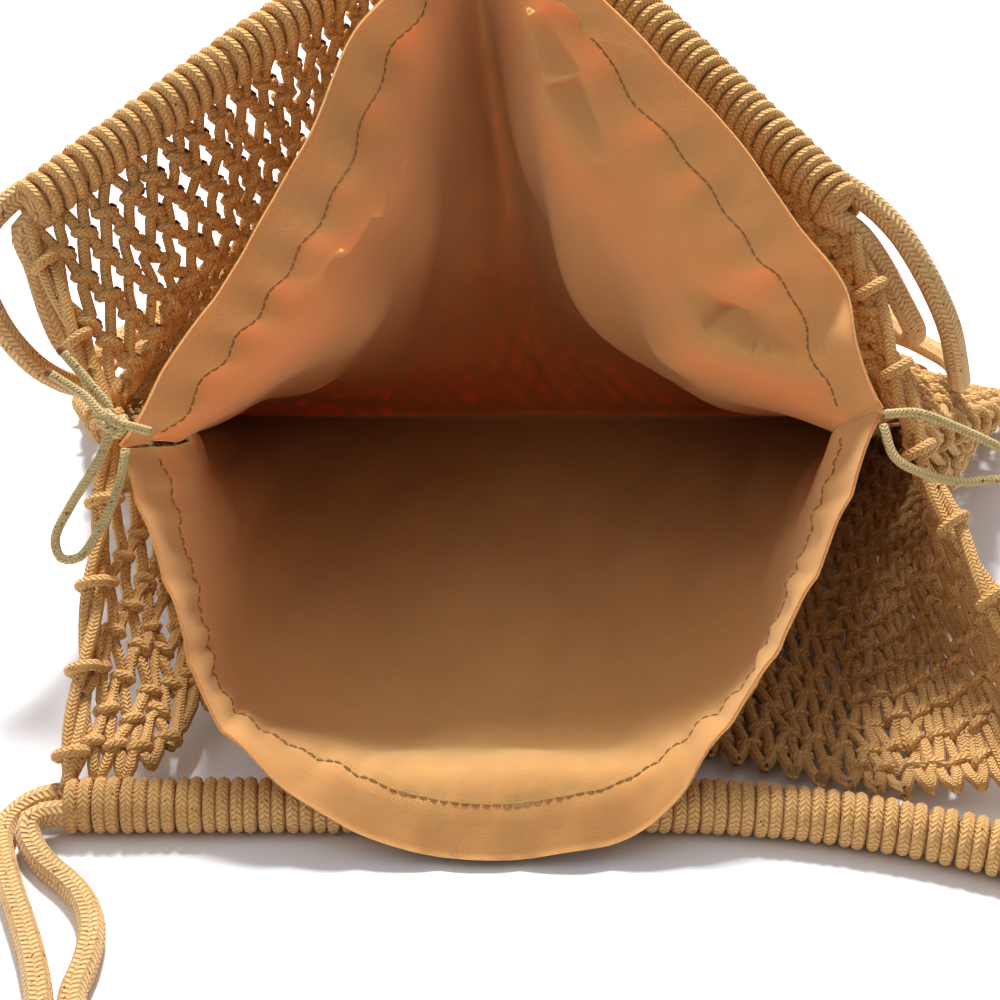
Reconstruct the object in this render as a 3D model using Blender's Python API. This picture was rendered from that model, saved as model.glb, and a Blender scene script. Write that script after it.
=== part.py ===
"""A knotted cotton net bag with a cotton drawstring lining, lying on a flat surface with its
mouth held open. Metres, +X right, +Y from the mouth to the bottom seam, +Z up. The origin is
on the surface, under the middle of the bag without its free cords.
"""

import math
from functools import partial

import bmesh
import bpy
from mathutils import Vector, geometry

# General clearances
GAP = 0.0003  # between pieces that touch
FLOOR = 0.0  # the surface that the bag lies on

# Rim bars: handle rope wrapped with net cord
BAR_RADIUS = 0.00875
BAR_RINGS = 22
FRONT_BAR_LEFT = -0.130
FRONT_BAR_RIGHT = 0.190
FRONT_BAR_BACK = 0.020  # from the lip's lowest point to the straight stretch of the bar
FRONT_BAR_BEND = 0.040  # how far its right end comes forward
FRONT_BAR_BEND_FROM = 0.050
REAR_BAR_LEFT = -0.152
REAR_BAR_RIGHT = 0.116
REAR_BAR_TOP = 0.242
REAR_BAR_BACK = 0.192
REAR_BAR_DROP = 0.084  # from its top to its ends
REAR_BAR_FORWARD = 0.051  # how far its ends come forward of its top
REAR_BAR_PEAK = 0.16  # how round the peak is, as a share of a side

# Net panels
NET_THICK = 0.006
NET_CELLS = 10  # half meshes across and from rim to bottom
NET_STRAND = 0.0042  # half the width of a strand of the net
BORDER_CUTS = 2  # of each outer side of a mesh, so that it follows its bar and seams
NET_BACK = 0.318
NET_LEFT = -0.185
NET_RIGHT = 0.240
SEAM_TOP_LEFT = (-0.124, 0.105, 0.095)
SEAM_TOP_RIGHT = (0.138, 0.102, 0.092)
FRONT_SLIT = 0.36  # share of the front panel's depth that its side edges are free
REAR_SLIT = 0.25
FRONT_TROUGH = 5.0  # how steeply the front panel turns up towards its sides
REAR_TROUGH = 2.6
NET_SETTLE = 0.035  # the length over which the net comes down from the bar to the floor
FRONT_BAR_SEAT = 0.0001  # between a bar and the net knotted onto it
REAR_BAR_SEAT = 0.0030
EDGE_RADIUS = 0.003  # of the doubled cords along the net's edges and seams
EDGE_SPACING = 0.013
EDGE_SEAT = 0.0046  # between the meshes and the cords along their free edges
SEAM_SEAT = 0.0008  # and the cords along their seams
SEAM_BLEND = 0.08  # the share of the depth over which one becomes the other
PANELS_APART = NET_THICK + 2 * GAP

# Lining
CLOTH = 0.0014
HEM = 0.0026
HEM_WIDTH = 0.020
MOUTH_HALF = 0.116
MOUTH_TALL = 0.292
MOUTH_LEAN = math.radians(31)
WAIST_BACK = 0.033  # from the mouth's plane to the waist's
WAIST_SHARE = 0.13
LINING_BACK = 0.298
LINING_LEFT = -0.158
LINING_RIGHT = 0.202
LINING_BED = 0.0082  # height of the lining's floor above the surface
LINING_CURL = 0.003  # how far its bottom corners turn up
BAR_COVER = 0.0005  # room between the front bar and the cloth over it
COVER_FRONT = 0.020  # the length over which the cloth comes down to the lip
COVER_BACK = 0.036
LINING_COLUMNS = 24
HEM_ROWS = (0, 0.3, 0.6, 0.9, 1.2)  # shares of the hem's width
CLOTH_ROWS = (0.10, 0.13, 0.17, 0.23, 0.33, 0.48, 0.64, 0.82, 1)  # shares of the lining's depth
LINING_ROWS = tuple(row * HEM_WIDTH / LINING_BACK for row in HEM_ROWS) + CLOTH_ROWS

# The mouth's outline, corner to corner from left to right. The mouth's edge and the waist
# behind it are shares of half the mouth's width and of its height.
# across, edge x, edge up, waist x, waist up
FLOOR_OUTLINE = (
    (-1.00, -0.970, 0.430, -0.860, 0.385),
    (-0.75, -0.840, 0.285, -0.790, 0.245),
    (-0.50, -0.700, 0.137, -0.690, 0.115),
    (-0.25, -0.380, 0.040, -0.360, 0.045),
    (0.00, 0.000, 0.008, 0.000, 0.035),
    (0.25, 0.405, 0.038, 0.370, 0.048),
    (0.50, 0.665, 0.168, 0.700, 0.137),
    (0.75, 0.870, 0.315, 0.845, 0.270),
    (1.00, 1.025, 0.468, 0.950, 0.400),
)
ROOF_OUTLINE = (
    (-1.00, -0.970, 0.430, -0.860, 0.385),
    (-0.75, -0.740, 0.575, -0.535, 0.495),
    (-0.50, -0.517, 0.730, -0.300, 0.630),
    (-0.25, -0.320, 0.880, -0.190, 0.795),
    (0.00, 0.000, 1.000, -0.040, 0.940),
    (0.25, 0.320, 0.890, 0.140, 0.785),
    (0.50, 0.610, 0.767, 0.345, 0.640),
    (0.75, 0.860, 0.627, 0.600, 0.497),
    (1.00, 1.025, 0.468, 0.950, 0.400),
)

# Folds of the lining, pushed out along its surface. Each runs from one place across to another
# while it goes from one share of the depth to another.
# half, across at its start, across at its end, start, end, height, width
FOLDS = (
    ("floor", -0.45, -0.30, 0.00, 0.16, 0.0022, 0.07),
    ("floor", 0.12, 0.05, 0.00, 0.14, 0.0018, 0.06),
    ("floor", 0.42, 0.30, 0.00, 0.18, 0.0020, 0.06),
    ("roof", 0.80, 0.66, 0.00, 0.30, -0.0060, 0.06),
    ("roof", 0.30, 0.62, 0.10, 0.55, -0.0070, 0.10),
    ("roof", -0.55, -0.40, 0.05, 0.50, 0.0050, 0.10),
)

# Cords
HANDLE_RADIUS = 0.004
STRING_RADIUS = 0.00145

# Routes of the free cords, chosen by hand, in millimetres from the lip's lowest point
HANDLE_FRONT_OUTER = (
    (-134.0, 24.6, 8.8), (-140.5, 23.4, 7.4), (-146.5, 18.5, 5), (-148, 9, 4.2), (-144, -3, 4.1),
    (-139, -15, 4.1), (-133, -28, 4.1), (-127, -42, 4.1), (-121.5, -58, 4.1), (-117, -78, 4.1),
    (-108, -103, 4.1), (-88, -128, 4.1), (-55, -147, 4.1), (-12, -157, 4.1), (35, -158, 4.1),
    (85, -152, 4.1), (135, -137, 4.1), (175, -111, 4.1), (202, -77, 4.1), (211.5, -52, 4.1),
    (210.5, -35, 4.6), (203, -23.5, 6.6), (193.3, -16.9, 8.8),
)  # fmt: skip
HANDLE_FRONT_INNER = (
    (-136.6, 14.6, 8.8), (-139.2, 12.8, 8.2), (-139.6, 9.2, 6.8), (-136.4, 3.2, 4.8),
    (-130.5, -4, 4.1), (-123, -11.5, 4.1), (-116.5, -20.5, 4.1), (-112.5, -31, 4.1),
    (-111.5, -44, 4.1), (-112.5, -58, 4.1), (-108.3, -75.5, 4.1), (-100.2, -98, 4.1),
    (-82.2, -120.6, 4.1), (-51.3, -138.5, 4.1), (-11, -148, 4.1), (34.6, -149, 4.1),
    (83.3, -143, 4.1), (131, -128.6, 4.1), (169, -104, 4.1), (193, -74, 4.1), (201, -53, 4.1),
    (201, -41, 4.8), (196.5, -32.4, 6.8), (190.2, -25.5, 8.8),
)  # fmt: skip
HANDLE_REAR_OUTER = (
    (-156.5, 142.5, 160.9), (-167, 135, 149), (-166, 129, 136), (-161, 127, 122),
    (-154, 131, 108), (-148, 141, 97), (-143.5, 154, 89), (-143, 185, 82), (-143, 219, 74),
    (-124, 258, 67), (-78, 290, 57), (-29, 304, 52), (23, 307, 51), (73, 303, 52),
    (121, 290, 57), (159, 257, 67), (174, 217, 73), (171, 183, 82), (164, 154, 91),
    (158, 139, 105), (152, 132, 121), (143, 132, 138), (133, 137, 152), (123, 142, 160.5),
)  # fmt: skip
HANDLE_REAR_INNER = (
    (-153.1, 138.9, 152), (-151, 140.5, 138), (-147, 137, 122), (-143.5, 139, 110),
    (-139, 148, 102), (-133, 170, 99), (-117, 214, 98), (-78, 249, 104), (-32, 269, 105),
    (17, 277, 105.5), (62, 269, 105), (103, 248, 104), (137, 212, 98), (148, 180, 100),
    (146.5, 158, 106), (144, 145, 114), (136, 138, 128), (128, 138, 141),
    (118.8, 138.4, 151.8),
)  # fmt: skip
DRAWSTRING_LEFT_LOOP = (
    (-109.8, 62.6, 109.1), (-111, 57, 102), (-113.6, 50.5, 95.3), (-118, 46.5, 88),
    (-123, 43.6, 82.6), (-128, 43.4, 82.4), (-130, 45.8, 87), (-125.6, 50.5, 96),
    (-117.5, 56.5, 107.5), (-113.4, 61, 116), (-113.6, 64, 121.5), (-119, 67.5, 128),
    (-128, 72.7, 137),
)  # fmt: skip
DRAWSTRING_LEFT_SHORT = (
    (-101.5, 61, 116), (-107, 59.5, 118.5), (-112.5, 59.5, 120.2), (-121, 65, 126),
    (-131.5, 69, 131.5),
)  # fmt: skip
DRAWSTRING_RIGHT_UPPER = (
    (119.7, 68.9, 118.1), (128.2, 66.5, 119.6), (138.8, 65.5, 116), (153.9, 63.4, 109.4),
    (164, 61.5, 103.5), (169, 60.5, 96), (171.5, 59, 86), (172.5, 57, 74),
)  # fmt: skip
DRAWSTRING_RIGHT_LOWER = (
    (118.8, 66.9, 115.2), (121.8, 61, 107.5), (129.8, 58.5, 103.4), (141.8, 58, 100.6),
    (153.9, 57.8, 101.4), (162, 57.2, 99.5), (166.5, 56, 92), (168, 54, 81), (167.5, 52, 70),
)  # fmt: skip
FREE_CORDS = (
    ("handle_front_outer", HANDLE_FRONT_OUTER),
    ("handle_front_inner", HANDLE_FRONT_INNER),
    ("handle_rear_outer", HANDLE_REAR_OUTER),
    ("handle_rear_inner", HANDLE_REAR_INNER),
    ("drawstring_left_loop", DRAWSTRING_LEFT_LOOP),
    ("drawstring_left_short", DRAWSTRING_LEFT_SHORT),
    ("drawstring_right_upper", DRAWSTRING_RIGHT_UPPER),
    ("drawstring_right_lower", DRAWSTRING_RIGHT_LOWER),
)


def smooth(low, high, value):
    """0 before low, 1 after high, and a smooth step between."""
    share = min(1.0, max(0.0, (value - low) / (high - low)))
    return share * share * (3 - 2 * share)


def through(stops, values, at):
    """The smooth curve through values at stops, read at one place."""
    last = len(stops) - 1
    k = max(0, min(last - 1, sum(stop <= at for stop in stops) - 1))
    slopes = [(values[i + 1] - values[i]) / (stops[i + 1] - stops[i]) for i in range(last)]
    here = slopes[k] if k == 0 else (slopes[k - 1] + slopes[k]) / 2
    there = slopes[k] if k == last - 1 else (slopes[k] + slopes[k + 1]) / 2
    span = stops[k + 1] - stops[k]
    t = (at - stops[k]) / span
    start = (2 * t**3 - 3 * t**2 + 1) * values[k] + (t**3 - 2 * t**2 + t) * span * here
    end = (3 * t**2 - 2 * t**3) * values[k + 1] + (t**3 - t**2) * span * there
    return start + end


# The rim bars' middle lines


def front_bar(across):
    """A point of the front bar's middle line, from -1 at its left end to 1 at its right."""
    x = FRONT_BAR_LEFT + (across + 1) / 2 * (FRONT_BAR_RIGHT - FRONT_BAR_LEFT)
    turn = max(0.0, (x - FRONT_BAR_BEND_FROM) / (FRONT_BAR_RIGHT - FRONT_BAR_BEND_FROM))
    return Vector((x, FRONT_BAR_BACK - FRONT_BAR_BEND * turn**2, FLOOR + BAR_RADIUS))


def rear_bar(across):
    """A point of the rear bar's middle line, which is raised to a rounded peak."""
    x = across * (REAR_BAR_RIGHT if across > 0 else -REAR_BAR_LEFT)
    rounded = math.hypot(across, REAR_BAR_PEAK) - REAR_BAR_PEAK
    down = rounded / (math.hypot(1, REAR_BAR_PEAK) - REAR_BAR_PEAK)
    y = REAR_BAR_BACK - REAR_BAR_FORWARD * down
    return Vector((x, y, FLOOR + REAR_BAR_TOP - REAR_BAR_DROP * down))


# The net's two panels


def seam_pull(share, slit):
    """How much of the side's shift towards its seam a place along the depth has."""
    return share / slit if share < slit else (1 - share) / (1 - slit)


def net_bottom(across):
    x = NET_LEFT + (across + 1) / 2 * (NET_RIGHT - NET_LEFT)
    return Vector((x, NET_BACK, FLOOR + PANELS_APART))


def seam_top(across):
    return Vector(SEAM_TOP_RIGHT if across > 0 else SEAM_TOP_LEFT)


def front_run(across, share):
    """From the front bar down to the floor and along it to the bottom seam."""
    start = front_bar(across)
    point = start.lerp(net_bottom(across), share)
    settled = smooth(0, NET_SETTLE, point.y - start.y - BAR_RADIUS)
    high = start.z + PANELS_APART / 2
    point.z = high + (FLOOR + PANELS_APART - high) * settled
    return point


def rear_run(across, share):
    """From the rear bar straight to the bottom seam."""
    start = rear_bar(across) - Vector((0, 0, PANELS_APART / 2))
    return start.lerp(net_bottom(across), share)


def net_panel(run, across, share, slit, trough):
    """A place of the sheet that a panel lies along, drawn to the side seams."""
    shift = seam_top(across) - run(math.copysign(1, across), slit)
    return run(across, share) + shift * seam_pull(share, slit) * abs(across) ** trough


def front_net(across, share):
    """The front panel lies on the floor and turns up at its sides."""
    point = net_panel(front_run, across, share, FRONT_SLIT, FRONT_TROUGH)
    return point - Vector((0, 0, PANELS_APART / 2 + GAP))


def rear_net(across, share):
    """The rear panel hangs from its bar to the bottom seam."""
    point = net_panel(rear_run, across, share, REAR_SLIT, REAR_TROUGH)
    return point + Vector((0, 0, PANELS_APART / 2))


def share_clear_of(surface, bar, across, room):
    """The share of the depth at which a panel is room away from its bar's middle line."""
    line = [bar(k / BAR_RINGS * 2 - 1) for k in range(BAR_RINGS + 1)]
    low, high = 0.0, 0.3
    for _ in range(24):
        middle = (low + high) / 2
        point = surface(across, middle)
        near = min(
            (point - geometry.intersect_point_line(point, a, b)[0]).length
            for a, b in zip(line, line[1:])
        )
        low, high = (low, middle) if near > room else (middle, high)
    return high


FRONT_PANEL = (front_net, front_bar, FRONT_BAR_SEAT, FRONT_SLIT)
REAR_PANEL = (rear_net, rear_bar, REAR_BAR_SEAT, REAR_SLIT)


def share_clear_of_seam(surface, across):
    """The share of the depth at which a panel's faces are clear of the bottom seam's cord."""
    left, right = net_bottom(-1), net_bottom(1)
    low, high = 0.9, 1.0
    for _ in range(16):
        middle = (low + high) / 2
        point = surface(across, middle)
        down = (surface(across, middle + 0.001) - point).normalized()
        thick = down.cross(right - left).normalized() * NET_THICK / 2
        near = min(
            (face - geometry.intersect_point_line(face, left, right)[0]).length
            for face in (point + thick, point - thick)
        )
        low, high = (middle, high) if near > EDGE_RADIUS + SEAM_SEAT else (low, middle)
    return low


def edge_line(across):
    """Along a side's free edges, from the front bar by the seam's top to the rear bar."""
    line = []
    for surface, bar, seat, slit in (FRONT_PANEL, REAR_PANEL):
        first = share_clear_of(surface, bar, across, BAR_RADIUS + seat)
        count = max(3, math.ceil((surface(across, slit) - bar(across)).length / EDGE_SPACING))
        half = [surface(across, first + (slit - first) * k / count) for k in range(count + 1)]
        line += half if surface is front_net else half[::-1]
    return line


def seam_line(across):
    """Down a side seam, from behind the edge cord to the bag's bottom corner."""
    top, corner = seam_top(across), net_bottom(across)
    start = top + (corner - top).normalized() * (1.5 * EDGE_RADIUS + GAP)
    count = math.ceil((corner - start).length / EDGE_SPACING)
    return [start.lerp(corner, k / count) for k in range(count + 1)]


def bottom_line():
    left, right = net_bottom(-1), net_bottom(1)
    inset = (right - left).normalized() * (1.6 * EDGE_RADIUS + GAP)
    count = math.ceil((right - left).length / (2 * EDGE_SPACING))
    return [(left + inset).lerp(right - inset, k / count) for k in range(count + 1)]


# The lining's two halves


def fold_height(half, across, share):
    """How far the folds push a place of the lining out."""
    total = 0.0
    for fold_half, first, last, start, end, height, width in FOLDS:
        if fold_half == half:
            run = (share - start) / (end - start)
            middle = first + (last - first) * run
            fade = smooth(-0.35, 0.15, run) * (1 - smooth(0.7, 1.2, run))
            total += height * fade * math.exp(-(((across - middle) / width) ** 2))
    return total


def lining_sheet(half, across, share):
    """A point of the lining before its folds, from the mouth at 0 to the seam at 1."""
    outline = FLOOR_OUTLINE if half == "floor" else ROOF_OUTLINE
    stops = [row[0] for row in outline]
    edge_x, edge_up, waist_x, waist_up = (
        through(stops, [row[k] for row in outline], across) for k in (1, 2, 3, 4)
    )
    lean, rise = math.sin(MOUTH_LEAN), math.cos(MOUTH_LEAN)
    edge = Vector((edge_x * MOUTH_HALF, edge_up * MOUTH_TALL * lean, edge_up * MOUTH_TALL * rise))
    waist_z = max(waist_up * MOUTH_TALL * rise, LINING_BED)
    waist = Vector((waist_x * MOUTH_HALF, waist_up * MOUTH_TALL * lean + WAIST_BACK, waist_z))
    seam_x = LINING_LEFT + (across + 1) / 2 * (LINING_RIGHT - LINING_LEFT)
    seam = Vector((seam_x, LINING_BACK, LINING_BED + LINING_CURL * across**4))
    places = (0.0, WAIST_SHARE, 1.0)
    point = Vector(through(places, column, share) for column in zip(edge, waist, seam))
    point.z = max(point.z, 0.0) + FLOOR
    return point


def over_the_bar(point):
    """Lifts a place of the lining's floor over the front bar."""
    reach = (point.x - FRONT_BAR_LEFT) / (FRONT_BAR_RIGHT - FRONT_BAR_LEFT) * 2 - 1
    bar = front_bar(min(1.0, max(-1.0, reach)))
    top = 2 * BAR_RADIUS + BAR_COVER + HEM
    away = (point.y - bar.y) / (COVER_BACK if point.y > bar.y else COVER_FRONT)
    cover = top * max(0.0, 1 - away**2) ** 1.3
    point.z = (max(point.z, 0.0) ** 4 + cover**4) ** 0.25
    return point


def lining(half, across, share):
    """A point of the middle of the lining's cloth."""
    step = 0.002
    point = lining_sheet(half, across, share)
    along = lining_sheet(half, min(1, across + step), share) - lining_sheet(
        half, max(-1, across - step), share
    )
    back = lining_sheet(half, across, min(1, share + step)) - lining_sheet(
        half, across, max(0, share - step)
    )
    out = along.cross(back).normalized() * (1 if half == "roof" else -1)
    if out.z * (1 if half == "roof" else -1) < 0:
        out.negate()
    push = fold_height(half, across, share)
    if half == "floor":
        point = over_the_bar(point)
        point.z += push + HEM / 2
        return point - Vector((0, 0, CLOTH / 2 + GAP))
    return point + out * push + Vector((0, 0, CLOTH / 2 + GAP + HEM / 2))


def hem_or_cloth(share):
    """How thick the lining is at a share of its depth."""
    return HEM if share * LINING_BACK < HEM_WIDTH else CLOTH


# Making pieces


def clear_scene():
    for old in list(bpy.data.objects):
        bpy.data.objects.remove(old)


def material(name, colour, roughness):
    made = bpy.data.materials.new(name)
    made.use_nodes = True
    shader = made.node_tree.nodes["Principled BSDF"]
    shader.inputs["Base Color"].default_value = (*colour, 1)
    shader.inputs["Roughness"].default_value = roughness
    shader.inputs["Metallic"].default_value = 0
    made.diffuse_color = (*colour, 1)
    return made


def add(name, data, finish, carrier):
    piece = bpy.data.objects.new(name, data)
    bpy.context.collection.objects.link(piece)
    data.materials.append(finish)
    piece.parent = carrier
    return piece


def shell(name, surface, rows, thickness, finish, carrier):
    """A closed sheet around surface(across, share), thickness(share) thick."""
    step = 0.001
    columns = LINING_COLUMNS
    mesh = bpy.data.meshes.new(name)
    bm = bmesh.new()
    sheets = ([], [])
    for share in rows:
        for sheet in sheets:
            sheet.append([])
        for column in range(columns + 1):
            across = 2 * column / columns - 1
            point = surface(across, share)
            along = surface(min(1, across + step), share) - surface(max(-1, across - step), share)
            back = surface(across, min(1, share + step)) - surface(across, max(0, share - step))
            out = along.cross(back).normalized() * thickness(share) / 2
            sheets[0][-1].append(bm.verts.new(point + out))
            sheets[1][-1].append(bm.verts.new(point - out))
    upper, lower = sheets
    for i in range(len(rows) - 1):
        for j in range(columns):
            bm.faces.new((upper[i][j], upper[i][j + 1], upper[i + 1][j + 1], upper[i + 1][j]))
            bm.faces.new((lower[i][j], lower[i + 1][j], lower[i + 1][j + 1], lower[i][j + 1]))
    rim = [(0, j) for j in range(columns)]
    rim += [(i, columns) for i in range(len(rows) - 1)]
    rim += [(len(rows) - 1, j) for j in range(columns, 0, -1)]
    rim += [(i, 0) for i in range(len(rows) - 1, 0, -1)]
    for (i, j), (k, m) in zip(rim, rim[1:] + rim[:1]):
        bm.faces.new((upper[i][j], lower[i][j], lower[k][m], upper[k][m]))
    bmesh.ops.recalc_face_normals(bm, faces=bm.faces)
    bm.to_mesh(mesh)
    bm.free()
    mesh.shade_smooth()
    return add(name, mesh, finish, carrier)


def on_border(edge, wide, deep):
    first, second = (v.co for v in edge.verts)
    flat = 1e-6
    sides = ((0, 0), (0, wide), (1, 0), (1, deep))
    return any(abs(first[k] - at) < flat and abs(second[k] - at) < flat for k, at in sides)


def net(name, panel, finish, carrier):
    """A panel of open diamond meshes between its bar, its side seams and the bottom."""
    surface, bar, bar_seat, slit = panel
    wide, deep = NET_RIGHT - NET_LEFT, NET_BACK
    mesh = bpy.data.meshes.new(name)
    bm = bmesh.new()
    knots = {}
    for i in range(NET_CELLS + 1):
        for j in range(i % 2, NET_CELLS + 1, 2):
            knots[i, j] = bm.verts.new((i / NET_CELLS * wide, j / NET_CELLS * deep, 0))
    for i in range(NET_CELLS + 1):
        for j in range((i + 1) % 2, NET_CELLS + 1, 2):
            round_it = ((i - 1, j), (i, j - 1), (i + 1, j), (i, j + 1))
            bm.faces.new([knots[place] for place in round_it if place in knots])
    bm.normal_update()
    strips = set(bmesh.ops.inset_individual(bm, faces=bm.faces[:], thickness=NET_STRAND)["faces"])
    bmesh.ops.delete(bm, geom=[face for face in bm.faces if face not in strips], context="FACES")
    outer = [edge for edge in bm.edges if edge.is_boundary and on_border(edge, wide, deep)]
    bmesh.ops.subdivide_edges(bm, edges=outer, cuts=BORDER_CUTS)
    for v in bm.verts:
        across, share = v.co.x / wide * 2 - 1, v.co.y / deep
        end = math.copysign(1, across)
        first = share_clear_of(surface, bar, across, BAR_RADIUS + bar_seat)
        last = share_clear_of_seam(surface, across)
        share = first + share * (last - first)
        in_seam = smooth(slit, slit + SEAM_BLEND, share)
        border = EDGE_RADIUS + EDGE_SEAT + (SEAM_SEAT - EDGE_SEAT) * in_seam
        edge = surface(end, share + 0.01) - surface(end, share - 0.01)
        inward = surface(end * 0.99, share) - surface(end, share)
        speed = inward.cross(edge.normalized()).length / 0.01
        v.co = surface(across * (1 - border / speed), share)
    bm.to_mesh(mesh)
    bm.free()
    mesh.shade_smooth()
    thick = add(name, mesh, finish, carrier).modifiers.new("cord_thickness", "SOLIDIFY")
    thick.thickness = NET_THICK
    thick.offset = 0
    thick.use_even_offset = False


def tube(name, points, radius, finish, carrier, resolution=2):
    """A round cord with closed ends along a line of points."""
    curve = bpy.data.curves.new(name, "CURVE")
    curve.dimensions = "3D"
    curve.bevel_depth = radius
    curve.bevel_resolution = resolution
    curve.use_fill_caps = True
    line = curve.splines.new("POLY")
    line.points.add(len(points) - 1)
    for place, point in zip(line.points, points):
        place.co = (*point, 1)
    return add(name, curve, finish, carrier)


def along_route(route, radius, spacing=2.0):
    """Points about spacing diameters apart on the smooth curve through a route's own points."""
    places = [Vector(point) / 1000 for point in route]
    far = [0.0]
    for first, second in zip(places, places[1:]):
        far.append(far[-1] + (second - first).length)
    count = max(3, math.ceil(far[-1] / (2 * radius * spacing)) + 1)
    return [
        Vector(
            through(far, [place[k] for place in places], far[-1] * i / (count - 1))
            for k in range(3)
        )
        for i in range(count)
    ]


def middle_of_all():
    """The middle of the box round everything built so far, before the free cords."""
    bpy.context.view_layer.update()
    pieces = [piece for piece in bpy.data.objects if piece.type != "EMPTY"]
    corners = [Vector(corner) for piece in pieces for corner in piece.bound_box]
    low, high = (Vector(pick(column) for column in zip(*corners)) for pick in (min, max))
    return (low + high) / 2


def build():
    clear_scene()
    bag = bpy.data.objects.new("bag", None)
    bpy.context.collection.objects.link(bag)
    cord = material("net_cord", (0.72, 0.45, 0.20), 0.85)
    rope = material("handle_rope", (0.76, 0.52, 0.28), 0.85)
    cloth = material("lining_cloth", (0.70, 0.47, 0.26), 0.9)
    string = material("drawstring_cord", (0.64, 0.48, 0.26), 0.85)

    bars = (("rim_bar_front", front_bar), ("rim_bar_rear", rear_bar))
    for name, bar in bars:
        line = [bar(2 * k / BAR_RINGS - 1) for k in range(BAR_RINGS + 1)]
        tube(name, line, BAR_RADIUS, cord, bag, resolution=4)

    net("net_front", FRONT_PANEL, cord, bag)
    net("net_rear", REAR_PANEL, cord, bag)
    for side, across in (("left", -1), ("right", 1)):
        tube(f"edge_cord_{side}", edge_line(across), EDGE_RADIUS, cord, bag)
        tube(f"seam_cord_{side}", seam_line(across), EDGE_RADIUS, cord, bag)
    tube("seam_cord_bottom", bottom_line(), EDGE_RADIUS, cord, bag)

    for half in ("floor", "roof"):
        shell(f"lining_{half}", partial(lining, half), LINING_ROWS, hem_or_cloth, cloth, bag)
    middle = middle_of_all()

    for name, route in FREE_CORDS:
        radius = HANDLE_RADIUS if name.startswith("handle") else STRING_RADIUS
        finish = rope if name.startswith("handle") else string
        tube(name, along_route(route, radius), radius, finish, bag)
    bag.location = (-middle.x, -middle.y, 0)


build()
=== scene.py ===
"""A knotted cotton net tote bag with a drawstring lining, lying on a pale floor with its mouth
held open. Metres, +X right, +Y from the mouth to the bottom seam, +Z up.
"""

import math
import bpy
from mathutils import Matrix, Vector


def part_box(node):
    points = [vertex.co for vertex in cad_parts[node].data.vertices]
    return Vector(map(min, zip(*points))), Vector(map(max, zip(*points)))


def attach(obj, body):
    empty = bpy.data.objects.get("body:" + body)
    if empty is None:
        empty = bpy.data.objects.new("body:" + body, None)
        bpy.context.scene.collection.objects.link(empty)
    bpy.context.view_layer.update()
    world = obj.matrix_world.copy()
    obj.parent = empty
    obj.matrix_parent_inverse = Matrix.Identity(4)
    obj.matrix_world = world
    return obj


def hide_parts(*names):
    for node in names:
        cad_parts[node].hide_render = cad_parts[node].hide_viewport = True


bl_info = {
    "name": "Knotted Net Tote Bag",
    "version": (1, 0, 0),
    "blender": (4, 5, 0),
    "location": "View3D > Sidebar > Net Bag",
    "description": "Makes a knotted cotton net bag with a drawstring lining over its frame",
    "category": "Add Mesh",
}

import bpy
import numpy as np
from bpy.props import FloatProperty, FloatVectorProperty, IntProperty, PointerProperty
from mathutils import Vector, geometry

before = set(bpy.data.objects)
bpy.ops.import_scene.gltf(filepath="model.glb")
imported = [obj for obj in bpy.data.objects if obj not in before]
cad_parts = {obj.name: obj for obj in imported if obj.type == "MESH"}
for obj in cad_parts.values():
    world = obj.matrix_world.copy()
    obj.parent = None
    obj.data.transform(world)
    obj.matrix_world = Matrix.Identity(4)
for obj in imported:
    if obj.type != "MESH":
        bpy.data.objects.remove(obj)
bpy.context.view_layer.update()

# Rim bars: a handle rope wrapped with net cord
BAR_RADIUS = 0.00875
BAR_RINGS = 22
FRONT_BAR_LEFT = -0.130
FRONT_BAR_RIGHT = 0.190
FRONT_BAR_BACK = 0.020
FRONT_BAR_BEND = 0.040
FRONT_BAR_BEND_FROM = 0.050
REAR_BAR_LEFT = -0.152
REAR_BAR_RIGHT = 0.116
REAR_BAR_TOP = 0.242
REAR_BAR_BACK = 0.192
REAR_BAR_DROP = 0.084
REAR_BAR_FORWARD = 0.051
REAR_BAR_PEAK = 0.16

# Net panels
PANEL_LIFT = 0.0033  # from a panel's middle to the plane between the two panels
NET_BED = 0.0046  # height of the middle of the net that lies on the floor
NET_BACK = 0.318
NET_LEFT = -0.185
NET_RIGHT = 0.240
SEAM_TOP_LEFT = (-0.124, 0.105, 0.095)
SEAM_TOP_RIGHT = (0.138, 0.102, 0.092)
FRONT_SLIT = 0.36
REAR_SLIT = 0.25
FRONT_TROUGH = 5.0
REAR_TROUGH = 2.6
NET_SETTLE = 0.035

# Lining
MOUTH_HALF = 0.116
MOUTH_TALL = 0.292
MOUTH_LEAN = math.radians(31)
WAIST_BACK = 0.033
WAIST_SHARE = 0.13
LINING_BACK = 0.298
LINING_LEFT = -0.158
LINING_RIGHT = 0.202
LINING_BED = 0.0082
LINING_CURL = 0.003
BAR_COVER = 0.0031
COVER_FRONT = 0.020
COVER_BACK = 0.036

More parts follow.
